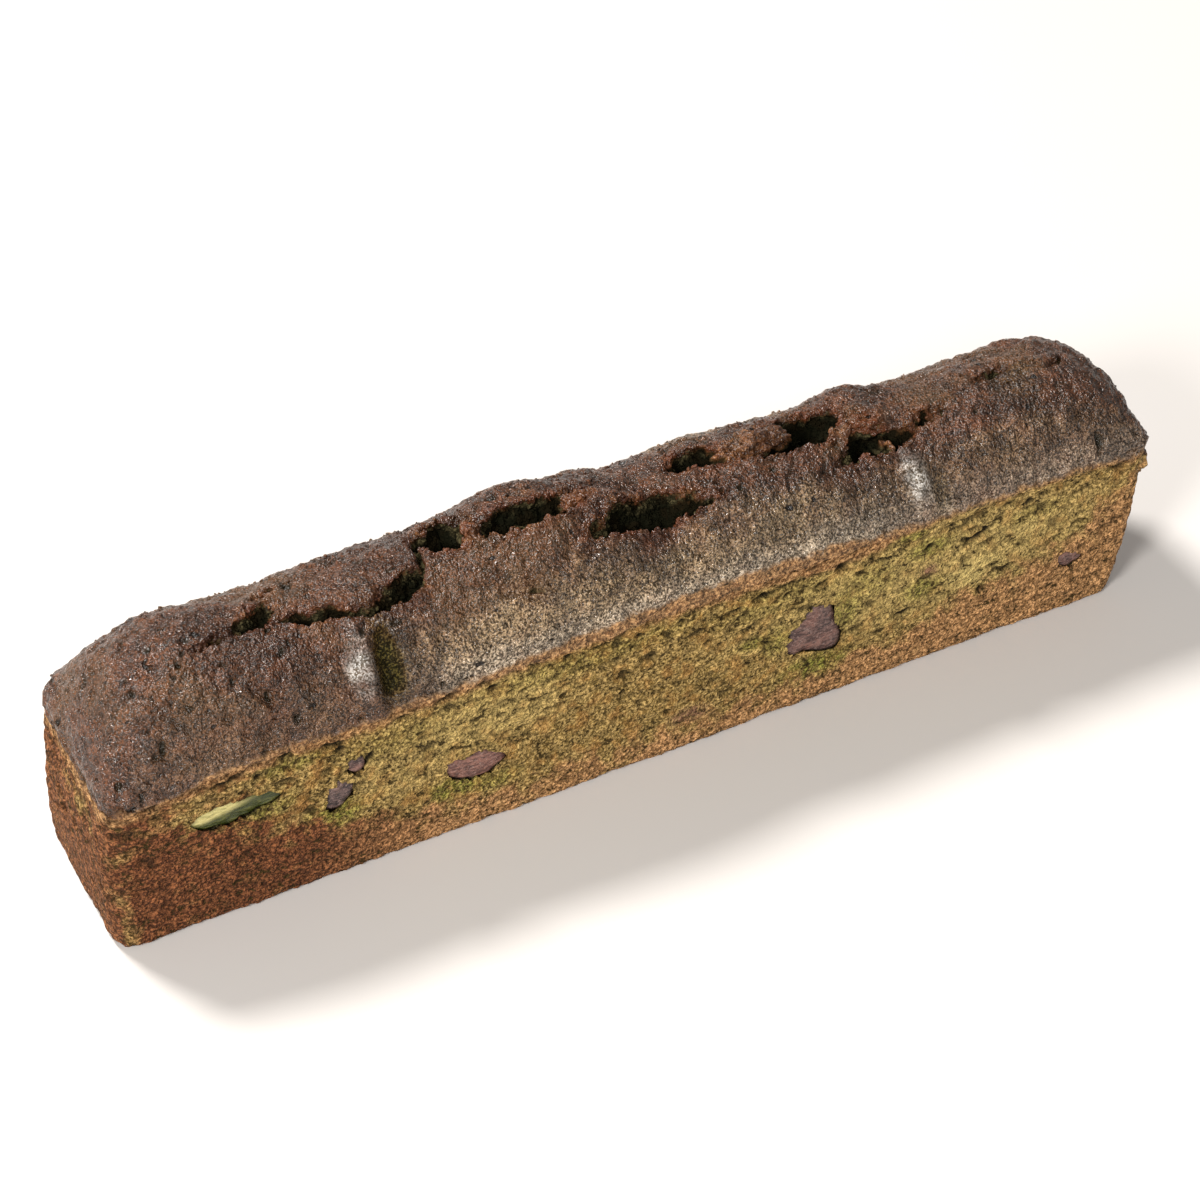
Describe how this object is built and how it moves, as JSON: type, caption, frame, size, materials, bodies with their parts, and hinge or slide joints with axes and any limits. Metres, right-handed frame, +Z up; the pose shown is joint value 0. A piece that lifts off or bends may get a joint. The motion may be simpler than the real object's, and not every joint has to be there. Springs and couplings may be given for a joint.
{
  "type": "pound cake",
  "caption": "Long slim uncut green-tea pound cake with a domed, split brown crust and sweet beans showing flush in its olive walls.",
  "frame": {"origin": "middle of the foot, under the centre of the loaf's box", "axes": "+X along the loaf, towards the end with the nub on its rim; -Y towards the wall with the most beans; +Z up"},
  "size_m": [0.2482, 0.0426, 0.0667],
  "materials": {
    "loaf": "dark brown granular crust over an olive-green porous crumb, browned along the foot and at the ends",
    "bean_red": "dark purple-red sweetened bean, softly shiny",
    "bean_green": "pale green-yellow sweetened bean, shiny"
  },
  "bodies": {
    "root": {"loaf": "loaf", "bean_large": "bean_red", "bean_long": "bean_red", "bean_small": "bean_red", "bean_chip": "bean_red", "bean_green": "bean_green", "bean_low_right": "bean_red", "bean_back_left": "bean_red", "bean_back_middle": "bean_red", "bean_back_small": "bean_red", "bean_back_right": "bean_red"}
  },
  "joints": []
}
